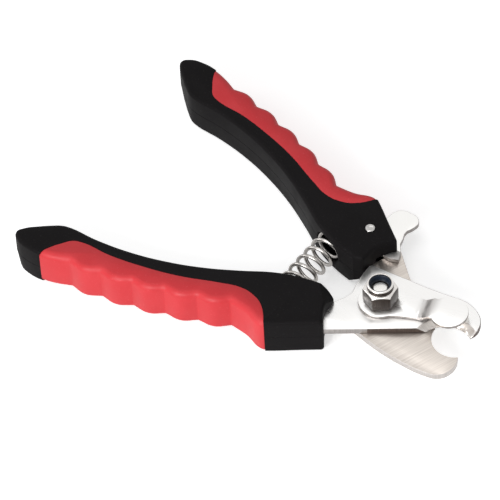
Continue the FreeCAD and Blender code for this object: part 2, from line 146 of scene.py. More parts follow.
SPRING_X = -28.4
SPRING_R = 4.4
SPRING_WIRE_R = 0.65
SPRING_TURNS = 7
POCKET_R = 5.4
POCKET_END = 15.3
POCKET_ROUND = 0.35
SPRING_HALF = POCKET_END - SPRING_WIRE_R - 0.1      # its end wires stay this far off the pockets' floors


# ---- Working in edit mode ----

def take(piece):
    """Leaves edit mode, with this piece alone selected and active."""
    if bpy.context.mode != "OBJECT":
        bpy.ops.object.mode_set(mode="OBJECT")
    bpy.ops.object.select_all(action="DESELECT")
    piece.hide_set(False)
    piece.select_set(True)
    bpy.context.view_layer.objects.active = piece
    return piece


def open_up(piece, kind="FACE"):
    """Edit mode with nothing selected."""
    take(piece)
    bpy.ops.object.mode_set(mode="EDIT")
    bpy.ops.mesh.select_mode(type=kind)
    bpy.ops.mesh.select_all(action="DESELECT")


def pick(piece, kind, wanted):
    """Edit mode with the faces, edges or points selected that pass the test."""
    open_up(piece, kind)
    bpy.ops.object.mode_set(mode="OBJECT")
    mesh = piece.data
    for item in {"FACE": mesh.polygons, "EDGE": mesh.edges, "VERT": mesh.vertices}[kind]:
        item.select = wanted(item)
    bpy.ops.object.mode_set(mode="EDIT")


def close_up(piece, smooth_angle=32):
    """Back to object mode, outward faces, smooth shading up to an angle."""
    open_up(piece)
    bpy.ops.mesh.select_all(action="SELECT")
    bpy.ops.mesh.normals_make_consistent(inside=False)
    take(piece)
    bpy.ops.object.shade_smooth_by_angle(angle=math.radians(smooth_angle))
    return piece


def settle(piece):
    """Puts the piece's place and turn into its mesh."""
    take(piece)
    bpy.ops.object.transform_apply(location=True, rotation=True, scale=True)
    return piece


def apply_modifier(piece, kind, **settings):
    """Adds one modifier with these settings and applies it."""
    take(piece)
    bpy.ops.object.modifier_add(type=kind)
    modifier = piece.modifiers[-1]
    for key, value in settings.items():
        setattr(modifier, key, value)
    bpy.ops.object.modifier_apply(modifier=modifier.name)


def cut(piece, tool, operation="DIFFERENCE", keep_tool=False):
    """Cuts with a tool, whose marking material tells the cut faces from the piece's own."""
    apply_modifier(piece, "BOOLEAN", object=tool, operation=operation, solver="EXACT",
                   material_mode="TRANSFER")
    if not keep_tool:
        bpy.data.objects.remove(tool)
    open_up(piece)
    bpy.ops.mesh.select_all(action="SELECT")
    bpy.ops.mesh.remove_doubles(threshold=CUT_MERGE * MM)
    return take(piece)


def outline(name, points, corners, z, height, round_steps=6):
    """A flat outline through plan points, smooth except at the named corners, made into a slab."""
    bpy.ops.object.select_all(action="DESELECT")
    bpy.ops.curve.primitive_bezier_curve_add(radius=MM, location=(0, 0, 0))
    curve = bpy.context.object
    curve.name = name
    data = curve.data
    data.dimensions = "2D"
    data.fill_mode = "BOTH"
    data.resolution_u = round_steps
    spline = data.splines[0]
    spline.bezier_points.add(len(points) - 2)
    spline.use_cyclic_u = True
    for knot, point in zip(spline.bezier_points, points):
        knot.co = (point[0] * MM, point[1] * MM, 0)
        kind = "VECTOR" if point in corners else "AUTO"
        knot.handle_left_type = knot.handle_right_type = kind
    bpy.ops.object.convert(target="MESH")
    slab = bpy.context.object
    open_up(slab)
    bpy.ops.mesh.select_all(action="SELECT")
    bpy.ops.mesh.remove_doubles(threshold=0.02 * MM)
    bpy.ops.mesh.dissolve_faces()
    bpy.ops.transform.translate(value=(0, 0, z * MM))
    bpy.ops.mesh.extrude_region_move(TRANSFORM_OT_translate={"value": (0, 0, height * MM)})
    bpy.ops.mesh.select_all(action="SELECT")
    bpy.ops.mesh.normals_make_consistent(inside=False)
    take(slab)
    return slab


def rod(name, radius, start, end, sides=48):
    """A plain round bar from one point to the other, in millimetres."""
    bpy.ops.object.select_all(action="DESELECT")
    run = Vector(end) - Vector(start)
    middle = (Vector(start) + Vector(end)) / 2
    turn = run.to_track_quat("Z", "Y").to_euler()
    bpy.ops.mesh.primitive_cylinder_add(vertices=sides, radius=radius * MM, depth=run.length * MM,
                                        location=middle * MM, rotation=turn)
    bar = bpy.context.object
    bar.name = name
    return settle(bar)


def mark(tool, material):
    """Gives the tool or blank this one material."""
    tool.data.materials.clear()
    tool.data.materials.append(material)
    return tool


def marked(piece, material):
    """Test for the faces that a marked tool cut."""
    slots = [k for k, m in enumerate(piece.data.materials) if m == material]
    return lambda face: face.material_index in slots


def soften_cut(piece, material, width, steps=2):
    """Rounds the rim of the faces that a marked tool cut."""
    pick(piece, "FACE", marked(piece, material))
    bpy.ops.mesh.region_to_loop()
    bpy.ops.mesh.bevel(offset=width * MM, segments=steps, affect="EDGES", clamp_overlap=False)
    take(piece)


# ---- Finishes ----

def sockets(group, side, named):
    """Adds a node group's sockets on one side."""
    for name, kind, value in named:
        socket = group.interface.new_socket(name=name, in_out=side, socket_type=kind)
        if value is not None and side == "INPUT":
            socket.default_value = value


def new_group(name, inputs, outputs):
    """A node group with its entry and exit."""
    group = bpy.data.node_groups.new(name, "ShaderNodeTree")
    sockets(group, "INPUT", inputs)
    sockets(group, "OUTPUT", outputs)
    nodes = group.nodes
    entry = nodes.new("NodeGroupInput")
    leave = nodes.new("NodeGroupOutput")
    entry.location, leave.location = (-700, 0), (500, 0)
    return group, nodes, group.links, entry, leave


def noise(nodes, links, vector, scale, detail=4.0, roughness=0.55):
    """Noise whose scale is a number or a socket."""
    node = nodes.new("ShaderNodeTexNoise")
    node.inputs["Detail"].default_value = detail
    node.inputs["Roughness"].default_value = roughness
    links.new(vector, node.inputs["Vector"])
    if isinstance(scale, (int, float)):
        node.inputs["Scale"].default_value = scale
    else:
        links.new(scale, node.inputs["Scale"])
    return node.outputs["Fac"]


def ranged(nodes, links, value, low, high, to_low=0.0, to_high=1.0):
    """Smooth step from one range to another."""
    node = nodes.new("ShaderNodeMapRange")
    node.interpolation_type = "SMOOTHSTEP"
    for name, number in (("From Min", low), ("From Max", high), ("To Min", to_low), ("To Max", to_high)):
        node.inputs[name].default_value = number
    links.new(value, node.inputs["Value"])
    return node.outputs["Result"]


def sums(nodes, links, operation, first, second):
    """One operation on two values; each may be a socket or a number."""
    node = nodes.new("ShaderNodeMath")
    node.operation = operation
    for socket, value in zip(node.inputs, (first, second)):
        if isinstance(value, (int, float)):
            socket.default_value = value
        else:
            links.new(value, socket)
    return node.outputs["Value"]


def mixed(nodes, links, factor, first, second):
    """Mix of two colours; each may be a socket or a plain colour."""
    node = nodes.new("ShaderNodeMix")
    node.data_type = "RGBA"
    colour_in = [s for s in node.inputs if s.type == "RGBA"]
    for socket, value in ((node.inputs["Factor"], factor), (colour_in[0], first), (colour_in[1], second)):
        if isinstance(value, (int, float)):
            socket.default_value = value
        elif isinstance(value, tuple):
            socket.default_value = (*value, 1.0)
        else:
            links.new(value, socket)
    return [s for s in node.outputs if s.type == "RGBA"][0]


def moulded_grain_group():
    """Fine pebbled grain from a spark-eroded mould."""
    group, nodes, links, entry, leave = new_group(
        "moulded_grain",
        [("Vector", "NodeSocketVector", None), ("Grain", "NodeSocketFloat", 2600.0),
         ("Unevenness", "NodeSocketFloat", 90.0)],
        [("Height", "NodeSocketFloat", None), ("Patches", "NodeSocketFloat", None)])
    vector = entry.outputs["Vector"]
    fine = noise(nodes, links, vector, entry.outputs["Grain"], 3.0, 0.6)
    broad = noise(nodes, links, vector, entry.outputs["Unevenness"], 3.0, 0.5)
    height = sums(nodes, links, "ADD", fine, sums(nodes, links, "MULTIPLY", broad, 0.6))
    links.new(height, leave.inputs["Height"])
    links.new(ranged(nodes, links, broad, 0.32, 0.7), leave.inputs["Patches"])
    return group


def brushed_lines_group():
    """Long thin scratches from a belt, along the vector's X."""
    group, nodes, links, entry, leave = new_group(
        "brushed_lines",
        [("Vector", "NodeSocketVector", None), ("Fineness", "NodeSocketFloat", 1.0)],
        [("Lines", "NodeSocketFloat", None), ("Height", "NodeSocketFloat", None),
         ("Smudges", "NodeSocketFloat", None)])
    squash = nodes.new("ShaderNodeVectorMath")
    squash.operation = "MULTIPLY"
    squash.inputs[1].default_value = (60.0, 3200.0, 60.0)
    links.new(entry.outputs["Vector"], squash.inputs[0])
    lines = noise(nodes, links, squash.outputs["Vector"], entry.outputs["Fineness"], 3.0, 0.7)
    broad = noise(nodes, links, entry.outputs["Vector"], 110.0, 2.0, 0.5)
    links.new(ranged(nodes, links, lines, 0.3, 0.7), leave.inputs["Lines"])
    links.new(lines, leave.inputs["Height"])
    links.new(ranged(nodes, links, broad, 0.38, 0.68), leave.inputs["Smudges"])
    return group


def wear_group():
    """Fine scuffs and dust that handling leaves."""
    group, nodes, links, entry, leave = new_group(
        "handling_wear",
        [("Vector", "NodeSocketVector", None), ("Amount", "NodeSocketFloat", 0.5)],
        [("Scuffs", "NodeSocketFloat", None), ("Dust", "NodeSocketFloat", None)])
    vector = entry.outputs["Vector"]
    stretch = nodes.new("ShaderNodeVectorMath")
    stretch.operation = "MULTIPLY"
    stretch.inputs[1].default_value = (320.0, 1500.0, 700.0)
    links.new(vector, stretch.inputs[0])
    thin = noise(nodes, links, stretch.outputs["Vector"], 1.0, 4.0, 0.7)
    where = noise(nodes, links, vector, 60.0, 2.0, 0.5)
    scuff = sums(nodes, links, "MULTIPLY", ranged(nodes, links, thin, 0.6, 0.75),
                 ranged(nodes, links, where, 0.45, 0.7))
    links.new(sums(nodes, links, "MULTIPLY", scuff, entry.outputs["Amount"]), leave.inputs["Scuffs"])
    specks = noise(nodes, links, vector, 1900.0, 2.0, 0.5)
    dust = sums(nodes, links, "MULTIPLY", ranged(nodes, links, specks, 0.64, 0.72), entry.outputs["Amount"])
    links.new(dust, leave.inputs["Dust"])
    return group


GRAIN = moulded_grain_group()
BRUSHED = brushed_lines_group()
WEAR = wear_group()


def start_material(name):
    """A new material with its shader and object coordinates."""
    material = bpy.data.materials.new(name)
    material.use_nodes = True
    nodes, links = material.node_tree.nodes, material.node_tree.links
    shader = nodes["Principled BSDF"]
    place = nodes.new("ShaderNodeTexCoord")
    return material, nodes, links, shader, place.outputs["Object"]


def placed_group(nodes, links, group, vector, **values):
    """A node group placed in a material, fed with its coordinates."""
    node = nodes.new("ShaderNodeGroup")
    node.node_tree = group
    links.new(vector, node.inputs["Vector"])
    for name, value in values.items():
        node.inputs[name].default_value = value
    return node


def bumped(nodes, links, shader, height, strength, distance):
    """Fine relief on the shader's normal, its depth in millimetres."""
    bump = nodes.new("ShaderNodeBump")
    bump.inputs["Strength"].default_value = strength
    bump.inputs["Distance"].default_value = distance * MM
    links.new(height, bump.inputs["Height"])
    links.new(bump.outputs["Normal"], shader.inputs["Normal"])


def moulded_finish(name, colour, worn, dusty, roughness, gloss, grain, depth, wear):
    """Moulded plastic or rubber: pebbled grain, patchy roughness, light scuffs."""
    material, nodes, links, shader, vector = start_material(name)
    texture = placed_group(nodes, links, GRAIN, vector, Grain=grain)
    marks = placed_group(nodes, links, WEAR, vector, Amount=wear)
    patch = ranged(nodes, links, texture.outputs["Patches"], 0.0, 1.0, 0.0, 0.16)
    base = mixed(nodes, links, patch, colour, worn)
    base = mixed(nodes, links, marks.outputs["Scuffs"], base, worn)
    base = mixed(nodes, links, marks.outputs["Dust"], base, dusty)
    links.new(base, shader.inputs["Base Color"])
    rough = ranged(nodes, links, texture.outputs["Patches"], 0.0, 1.0, roughness - 0.05, roughness + 0.05)
    links.new(sums(nodes, links, "ADD", rough, sums(nodes, links, "MULTIPLY", marks.outputs["Scuffs"], 0.15)),
              shader.inputs["Roughness"])
    shader.inputs["Specular IOR Level"].default_value = gloss
    bumped(nodes, links, shader, texture.outputs["Height"], 0.35, depth)
    return material


def steel_finish(name, colour, shade, roughness, turn=0.0, fineness=1.0, line_depth=0.012, contrast=0.5):
    """Ground or polished steel with belt lines turned by an angle in plan."""
    material, nodes, links, shader, vector = start_material(name)
    mapping = nodes.new("ShaderNodeMapping")
    mapping.inputs["Rotation"].default_value = (0, 0, math.radians(turn))
    links.new(vector, mapping.inputs["Vector"])
    lines = placed_group(nodes, links, BRUSHED, mapping.outputs["Vector"], Fineness=fineness)
    amount = sums(nodes, links, "MULTIPLY", lines.outputs["Lines"], contrast)
    base = mixed(nodes, links, amount, colour, shade)
    smudge = sums(nodes, links, "MULTIPLY", lines.outputs["Smudges"], 0.12)
    links.new(mixed(nodes, links, smudge, base, shade), shader.inputs["Base Color"])
    rough = ranged(nodes, links, lines.outputs["Smudges"], 0.0, 1.0, roughness, roughness + 0.07)
    links.new(sums(nodes, links, "ADD", rough, sums(nodes, links, "MULTIPLY", lines.outputs["Lines"], 0.06)),
              shader.inputs["Roughness"])
    shader.inputs["Metallic"].default_value = 1.0
    bumped(nodes, links, shader, lines.outputs["Height"], 0.25, line_depth)
    return material


def paint_bend_shade(material, shade):
    """Paints shade in a band across the guard's arm, where it bends: a darker colour for the darker
    reflection in the bend.
    """
    nodes, links = material.node_tree.nodes, material.node_tree.links
    shader = nodes["Principled BSDF"]
    base = shader.inputs["Base Color"].links[0].from_socket
    mapping = [node for node in nodes if node.type == "MAPPING"][0]
    along = nodes.new("ShaderNodeSeparateXYZ")
    links.new(mapping.outputs["Vector"], along.inputs[0])
    begins, full, still_full, ends = [distance * MM for distance in GUARD_PAINTED_SHADE]
    start = ranged(nodes, links, along.outputs["X"], begins, full)
    end = ranged(nodes, links, along.outputs["X"], still_full, ends, 1.0, 0.0)
    bend = sums(nodes, links, "MULTIPLY", start, end)
    links.new(mixed(nodes, links, bend, base, shade), shader.inputs["Base Color"])


black_plastic = moulded_finish(
    "black_plastic", (0.0042, 0.0036, 0.0039), (0.014, 0.013, 0.014), (0.030, 0.029, 0.029),
    roughness=0.60, gloss=0.065, grain=2400.0, depth=0.03, wear=0.35)
red_rubber = moulded_finish(
    "red_rubber", (0.47, 0.022, 0.028), (0.60, 0.070, 0.078), (0.62, 0.10, 0.11),
    roughness=0.50, gloss=0.30, grain=1700.0, depth=0.05, wear=0.25)
polished_steel = steel_finish("polished_steel", (0.93, 0.92, 0.905), (0.80, 0.785, 0.765), 0.26, 12.0,
                              line_depth=0.004, contrast=0.25)
brushed_steel = steel_finish("brushed_steel", (0.74, 0.685, 0.63), (0.53, 0.475, 0.43), 0.30, -69.0,
                             fineness=0.6, line_depth=0.03, contrast=0.75)
guard_steel = steel_finish("guard_steel", (0.93, 0.92, 0.905), (0.80, 0.78, 0.76), 0.24, -GUARD_TURN,
                           contrast=0.2)
lever_steel = steel_finish("lever_steel", (0.93, 0.92, 0.90), (0.82, 0.80, 0.77), 0.28, 60.0, contrast=0.2)
ground_edge = steel_finish("ground_edge", (0.55, 0.52, 0.50), (0.36, 0.33, 0.31), 0.34, 90.0, contrast=0.5)
# the upper jaw's sheared edge: darker steel, darkened further as a painted dark reflection
sheared_edge_painted_dark = steel_finish("sheared_edge_painted_dark", (0.12, 0.095, 0.085), (0.07, 0.055, 0.050), 0.36, 90.0,
                            contrast=0.6)
# the sides' duller steel, also on the edges' roundings as a painted dark rim; on the upper jaw's front edge
# it is a painted bright reflection
rim_steel_painted_shade_and_reflection = steel_finish("rim_steel_painted_shade_and_reflection", (0.34, 0.32, 0.31), (0.20, 0.18, 0.17), 0.34, 90.0, contrast=0.6)
# the ground slope round the upper notch: its own finish, made darker as painted shade
ground_bevel_painted_shade = steel_finish("ground_bevel_painted_shade", (0.66, 0.63, 0.60), (0.42, 0.39, 0.37), 0.26, 0.0, contrast=0.7)
nut_steel = steel_finish("nut_steel", (0.80, 0.775, 0.75), (0.45, 0.41, 0.38), 0.14, 0.0, contrast=0.25)
# painted reflection: the nut's side flats made dark for the dark surroundings they mirror
nut_side_painted_reflection = steel_finish("nut_side_painted_reflection", (0.062, 0.052, 0.047), (0.030, 0.024, 0.021), 0.24, 90.0, contrast=0.6)
bolt_steel = steel_finish("bolt_steel", (0.90, 0.885, 0.86), (0.66, 0.63, 0.60), 0.22, 0.0, contrast=0.3)
spring_steel = steel_finish("spring_steel", (0.50, 0.48, 0.46), (0.20, 0.185, 0.17), 0.20, 0.0, contrast=0.5)
# painted shade on the lever's hook, next to the handle's end
hook_painted_shade = steel_finish("hook_painted_shade", (0.40, 0.385, 0.375), (0.26, 0.25, 0.24), 0.34, 60.0, contrast=0.4)
rivet_steel = steel_finish("rivet_steel", (0.56, 0.545, 0.53), (0.32, 0.31, 0.30), 0.28, 0.0, contrast=0.4)
blue_nylon = moulded_finish(
    "blue_nylon", (0.006, 0.010, 0.020), (0.02, 0.03, 0.05), (0.03, 0.04, 0.06),
    roughness=0.32, gloss=0.3, grain=900.0, depth=0.02, wear=0.2)

# painted shade across the guard's bend
paint_bend_shade(guard_steel, (0.50, 0.48, 0.465))

seam_mark = bpy.data.materials.new("seam_mark")
hole_mark = bpy.data.materials.new("hole_mark")


def finish_with(piece, *materials, level=1.0):
    """One material all over, or the second for the sides, the rim below and what leans past the level."""
    piece.data.materials.clear()
    for material in materials:
        piece.data.materials.append(material)
    for face in piece.data.polygons:
        face.material_index = int(len(materials) > 1 and -0.97 < face.normal.z < level)


# ---- Handles and grips ----

def bump_points():
    """Valleys and crests of the finger bumps, from the front valley to the rear one."""
    front, rear = Vector(GRIP_FRONT), Vector(GRIP_REAR)
    chord = front - rear
    drop = math.sqrt(GRIP_ARC_R ** 2 - (chord.length / 2) ** 2)
    centre = (front + rear) / 2 + Vector((chord.y, -chord.x)).normalized() * drop
    first = math.atan2(front.y - centre.y, front.x - centre.x)
    last = math.atan2(rear.y - centre.y, rear.x - centre.x)
    points = []
    for k in range(2 * BUMPS + 1):
        angle = first + (last - first) * k / (2 * BUMPS)
        radius = GRIP_ARC_R + BUMP_H * (k % 2)
        points.append((centre.x + radius * math.cos(angle), centre.y + radius * math.sin(angle)))
    return points


def rounded_corner(before, corner, after, radius):
    """Three points that turn a plan corner into a small arc."""
    before, corner, after = Vector(before), Vector(corner), Vector(after)
    back, on = (before - corner).normalized(), (after - corner).normalized()
    half = back.angle(on) / 2
    reach = radius / math.tan(half)
    middle = corner + (back + on).normalized() * (radius / math.sin(half) - radius)
    return [tuple(corner + back * reach), tuple(middle), tuple(corner + on * reach)]


def soften_corner(blank, corner):
    """Rounds the upright edge at a plan corner."""
    open_up(blank, "EDGE")
    bpy.ops.mesh.edges_select_sharp(sharpness=math.radians(25))
    bpy.ops.object.mode_set(mode="OBJECT")
    points = blank.data.vertices
    for edge in blank.data.edges:
        if any((points[v].co.xy - corner).length > FRONT_REACH * MM for v in edge.vertices):
            edge.select = False
    bpy.ops.object.mode_set(mode="EDIT")
    bpy.ops.mesh.bevel(offset=FRONT_ROUND * MM, segments=4, affect="EDGES", clamp_overlap=False)
    take(blank)


def handle_blank(name, edge_round, under_rubber=False):
    """The whole moulding with rounded edges; under rubber, its far ends are blunt, as they are cut off."""
    points = HEEL_FACE[1:] + HEEL + bump_points()
    if under_rubber:
        points += TAIL[:3] + BLUNT_END + INNER_EDGE[:-1] + BLUNT_FRONT
    else:
        points += TAIL + INNER_EDGE
        points += rounded_corner(INNER_EDGE[-1], NOSE[0], NOSE[1], NOSE_ROUND)
        points += rounded_corner(NOSE[0], NOSE[1], END_FACE, NOSE_ROUND)
        points += [END_FACE, HEEL_FACE[0]]
    corners = bump_points()[::2] + [HEEL_FACE[0]]
    blank = outline(name, points, corners, -HANDLE_T / 2, HANDLE_T)
    half = HANDLE_T / 2 * MM
    points = blank.data.vertices

    def on_rim(edge):
        ends = [points[v].co.z for v in edge.vertices]
        return abs(abs(ends[0]) - half) < 0.01 * MM and abs(ends[0] - ends[1]) < half

    pick(blank, "EDGE", on_rim)
    bpy.ops.mesh.bevel(offset=edge_round * MM, segments=5, affect="EDGES", clamp_overlap=False)
    if not under_rubber:
        soften_corner(blank, Vector(HEEL_FACE[0]) * MM)
    return take(blank)


def grip_cutter():
    """A block bounded by the line where rubber meets plastic."""
    corners = GRIP_OUTSIDE + [GRIP_LINE[0], GRIP_LINE[-1]]
    cutter = outline("grip_cutter", GRIP_LINE + GRIP_OUTSIDE, corners, -GRIP_CUTTER_HALF,
                     2 * GRIP_CUTTER_HALF, round_steps=8)
    return mark(cutter, seam_mark)


def parting_line(piece):
    """A fine line round the side, where the two halves of the mould meet."""
    for z in (-PARTING_HALF, 0.0, PARTING_HALF):
        open_up(piece)
        bpy.ops.mesh.select_all(action="SELECT")
        bpy.ops.mesh.bisect(plane_co=(0, 0, z * MM), plane_no=(0, 0, 1))
    pick(piece, "VERT", lambda point: abs(point.co.z) < 0.01 * MM)
    bpy.ops.transform.shrink_fatten(value=-PARTING_DEPTH * MM)
    take(piece)


def cut_under_nose(piece):
    """The nose's underside falls away beyond the crease, so that its tip comes down to the blade."""
    start, end = [Vector((*point, -HANDLE_T / 2)) for point in NOSE_CREASE]
    outward = Vector((end.y - start.y, start.x - end.x, 0)).normalized()
    below = (outward * NOSE_FALL - UP).normalized()
    open_up(piece)
    bpy.ops.mesh.select_all(action="SELECT")
    bpy.ops.mesh.bisect(plane_co=start * MM, plane_no=below, use_fill=True, clear_outer=True)
    take(piece)


def press_flat(piece):
    """Presses what stands above the top or below the bottom back to the flat."""
    for side in (1, -1):
        level = side * HANDLE_T / 2 * MM
        pick(piece, "VERT", lambda point: point.co.z * side > abs(level))
        bpy.ops.transform.resize(value=(1, 1, 0), center_override=(0, 0, level))
    take(piece)


def make_upper_handle_and_grip():
    """The same cutter takes the rubber's place out of the moulding and the rubber out of its blank."""
    body = mark(handle_blank("upper_handle_moulding", EDGE_ROUND), black_plastic)
    cut_under_nose(body)
    grip = mark(handle_blank("upper_grip_rubber", GRIP_ROUND, under_rubber=True), red_rubber)
    cutter = grip_cutter()
    cut(body, cutter, keep_tool=True)
    cut(grip, cutter, "INTERSECT")
    parting_line(body)
    for piece in (body, grip):
        soften_cut(piece, seam_mark, SEAM_ROUND)
        press_flat(piece)
    pocket = rod("pocket_tool", POCKET_R, (SPRING_X, 0, 0), (SPRING_X, POCKET_END, 0))
    cut(body, mark(pocket, hole_mark))
    soften_cut(body, hole_mark, POCKET_ROUND)
    return body, grip


def draw_in_tail(piece):
    """The lower half of the tail leans inwards."""
    start = TAIL_START * MM
    pick(piece, "VERT", lambda point: point.co.x < start and point.co.z < TAIL_FOOT * MM)
    bpy.ops.transform.resize(value=(TAIL_LEAN, 1, 1), center_override=(start, 0, 0))
    take(piece)


def turned_over(piece, name):
    """A copy, upside down, for the other handle."""
    take(piece)
    bpy.ops.object.duplicate()
    copy = bpy.context.object
    copy.name = name
    copy.rotation_euler = (math.pi, 0, 0)
    return settle(copy)


upper_body, upper_rubber = make_upper_handle_and_grip()
lower_body = turned_over(upper_body, "lower_handle_moulding")
lower_rubber = turned_over(upper_rubber, "lower_grip_rubber")

for body in (upper_body, lower_body):
    draw_in_tail(body)

# the upper one alone has the slot for the lever and the rivet's seats
slot_tool = mark(outline("slot_tool", LEVER_SLOT, LEVER_SLOT, SLOT_FLOOR, SLOT_H), hole_mark)
cut(upper_body, slot_tool)
for low, high in RIVET_SEATS:
    seat = rod("seat_tool", RIVET_SEAT_R, (*RIVET_AT, low), (*RIVET_AT, high))
    cut(upper_body, mark(seat, hole_mark))

for piece, material, body, node, slot in (
        (upper_body, black_plastic, "upper_lever", "upper_handle", "handle_plastic"),
        (lower_body, black_plastic, "lower_lever", "lower_handle", "handle_plastic"),
        (upper_rubber, red_rubber, "upper_lever", "upper_grip", "grip_rubber"),
        (lower_rubber, red_rubber, "lower_lever", "lower_grip", "grip_rubber")):
    close_up(piece)
    finish_with(piece, material)
    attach(piece, body)
    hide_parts(node)


# ---- Metal parts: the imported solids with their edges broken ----

def beyond_notch(place, notch):
    """How far a place lies outside a notch's arc in plan, in millimetres."""
    centre, radius = notch
    return (place.xy / MM - Vector(centre)).length - radius


def edged_copy(node, name, width, notch):
    """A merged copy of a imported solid, its sharp edges rounded except the cutting edge round a notch."""
    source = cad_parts[node]
    piece = bpy.data.objects.new(name, source.data.copy())
    bpy.context.scene.collection.objects.link(piece)
    open_up(piece)
    bpy.ops.mesh.select_all(action="SELECT")
    bpy.ops.mesh.remove_doubles(threshold=0.002 * MM)
    bpy.ops.mesh.dissolve_limited(angle_limit=math.radians(0.4))
    bpy.ops.mesh.select_all(action="DESELECT")
    bpy.ops.mesh.select_mode(type="EDGE")
    bpy.ops.mesh.edges_select_sharp(sharpness=math.radians(35))
    bpy.ops.object.mode_set(mode="OBJECT")
    points = piece.data.vertices
    for edge in piece.data.edges:
        middle = (points[edge.vertices[0]].co + points[edge.vertices[1]].co) / 2
        if notch and abs(beyond_notch(middle, notch)) < NOTCH_MARGIN:
            edge.select = False
    bpy.ops.object.mode_set(mode="EDIT")
    bpy.ops.mesh.bevel(offset=width * MM, segments=2, affect="EDGES", clamp_overlap=False)
    bpy.ops.mesh.select_all(action="SELECT")
    bpy.ops.mesh.remove_doubles(threshold=0.005 * MM)
    return take(piece)


def soften_bends(guard):
    """Rounds the two bends across the guard's arm."""
    turn = math.radians(GUARD_TURN)
    arm = Vector((math.cos(turn), math.sin(turn), 0))
    points = guard.data.vertices

    def bend(edge):
        start, end = [points[v].co for v in edge.vertices]
        run = end - start
        along = ((start + end) / 2).dot(arm) / MM
        across = run.length > 3 * MM and abs(run.normalized().dot(arm)) < 0.05
        return across and GUARD_BENDS[0] < along < GUARD_BENDS[1]

    pick(guard, "EDGE", bend)
    bpy.ops.mesh.bevel(offset=GUARD_BEND_ROUND * MM, segments=8, affect="EDGES", clamp_overlap=False)
    take(guard)


def divide(plate, place, across):
    """A line across the plate, where the painted reflection or painted shade on it changes."""
    open_up(plate)
    bpy.ops.mesh.select_all(action="SELECT")
    bpy.ops.mesh.bisect(plane_co=Vector(place) * MM, plane_no=across)
    take(plate)


def open_mouth(ring):
    """The ring's hole widens upwards."""
    pick(ring, "VERT",
         lambda point: point.co.xy.length < RING_HOLE_R * MM and point.co.z > RING_MOUTH_Z * MM)
    bpy.ops.transform.resize(value=(RING_WIDEN, RING_WIDEN, 1), center_override=(0, 0, RING_TOP * MM))
    take(ring)


# What some pieces get before they are closed up
SHAPING = {
    "nail_guard": soften_bends,
    "upper_jaw_blade": lambda blade: divide(blade, (EDGE_PAINTED_BRIGHT_X, 0, 0), (1, 0, 0)),
    "lock_lever": lambda lever: divide(lever, (0, HOOK_SHADE_Y, 0), (0, 1, 0)),
    "nut_nylon_ring": open_mouth,
}


def paint_hook_shade(lever):
    """The hook gets painted shade: darker steel than the rest of the lever."""
    lever.data.materials.append(hook_painted_shade)
    for face in lever.data.polygons:
        if face.material_index == 0 and face.center.y < HOOK_SHADE_Y * MM:
            face.material_index = 2


def finish_and_paint_edge(blade):
    """The slope ground round the upper jaw's notch, with painted shade, and the painted bright reflection on
    the front part of the blade's edge.
    """
    blade.data.materials.append(ground_bevel_painted_shade)
    blade.data.materials.append(rim_steel_painted_shade_and_reflection)
    for face in blade.data.polygons:
        if face.material_index == 1 and face.center.x < EDGE_PAINTED_BRIGHT_X * MM:
            face.material_index = 3
        by_notch = -NOTCH_MARGIN < beyond_notch(face.center, UPPER_NOTCH) < SLOPE_WIDTH
        if by_notch and SLOPE_NORMAL[0] < abs(face.normal.z) < SLOPE_NORMAL[1]:
            face.material_index = 2


MORE_FINISHES_AND_PAINTED_LIGHT = {"lock_lever": paint_hook_shade, "upper_jaw_blade": finish_and_paint_edge}

# How upright a face's normal is at least, where the face still has the finish of the flat
FLAT_LEVEL = 0.35
# these raised levels put the edges' roundings in the darker edge finish: a painted dark rim
LEVELS_WITH_PAINTED_RIMS = {"nail_guard": 0.75, "lock_lever": 0.95, "upper_jaw_blade": 0.95, "lower_jaw_blade": 0.95}

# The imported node, the new piece, the rounding of its edges, its notch, finishes, body and slot
METALS = [
    ("upper_jaw_blade", "upper_jaw_plate", 0.18, UPPER_NOTCH, (polished_steel, sheared_edge_painted_dark),
     "lower_lever", "polished_steel"),
    ("lower_jaw_blade", "lower_jaw_plate", 0.18, LOWER_NOTCH, (brushed_steel, ground_edge),
     "upper_lever", "brushed_steel"),
    ("nail_guard", "nail_guard_plate", 0.30, None, (guard_steel, rim_steel_painted_shade_and_reflection), "guard", "guard_steel"),
    ("lock_lever", "lock_lever_plate", 0.16, None, (lever_steel, rim_steel_painted_shade_and_reflection), "lock", "lever_steel"),
    ("lock_nut", "lock_nut_body", 0.10, None, (nut_steel, nut_side_painted_reflection), "lower_lever", "nut_steel"),
    ("pivot_bolt", "pivot_bolt_body", 0.10, None, (bolt_steel,), "lower_lever", "bolt_steel"),
    ("nut_nylon_ring", "nut_nylon_insert", 0.12, None, (blue_nylon,), "lower_lever", "nylon"),
]
for node, name, width, notch, finishes, body, slot in METALS:
    piece = edged_copy(node, name, width, notch)
    if node in SHAPING:
        SHAPING[node](piece)
    close_up(piece, 30)
    finish_with(piece, *finishes, level=LEVELS_WITH_PAINTED_RIMS.get(node, FLAT_LEVEL))
    if node in MORE_FINISHES_AND_PAINTED_LIGHT:
        MORE_FINISHES_AND_PAINTED_LIGHT[node](piece)
    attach(piece, body)
    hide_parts(node)


# ---- Rivet ----

def make_rivet():
    """A bar with a low rolled head and a dimple at each end, the lower head flatter."""
    rivet = rod("lever_rivet_bar", RIVET_R, (*RIVET_AT, -RIVET_HALF), (*RIVET_AT, RIVET_HALF), 40)
    for side in (1, -1):
        pick(rivet, "FACE", lambda face: face.normal.z * side > 0.9)
        for grow, rise in RIVET_HEAD:
            travel = rise * (LOWER_HEAD if side < 0 else 1.0)
            bpy.ops.mesh.extrude_region_move(TRANSFORM_OT_translate={"value": (0, 0, side * travel * MM)})
            centre = Vector((*RIVET_AT, side * RIVET_HALF)) * MM
            bpy.ops.transform.resize(value=(grow, grow, 1), center_override=centre)
    return close_up(take(rivet), 40)


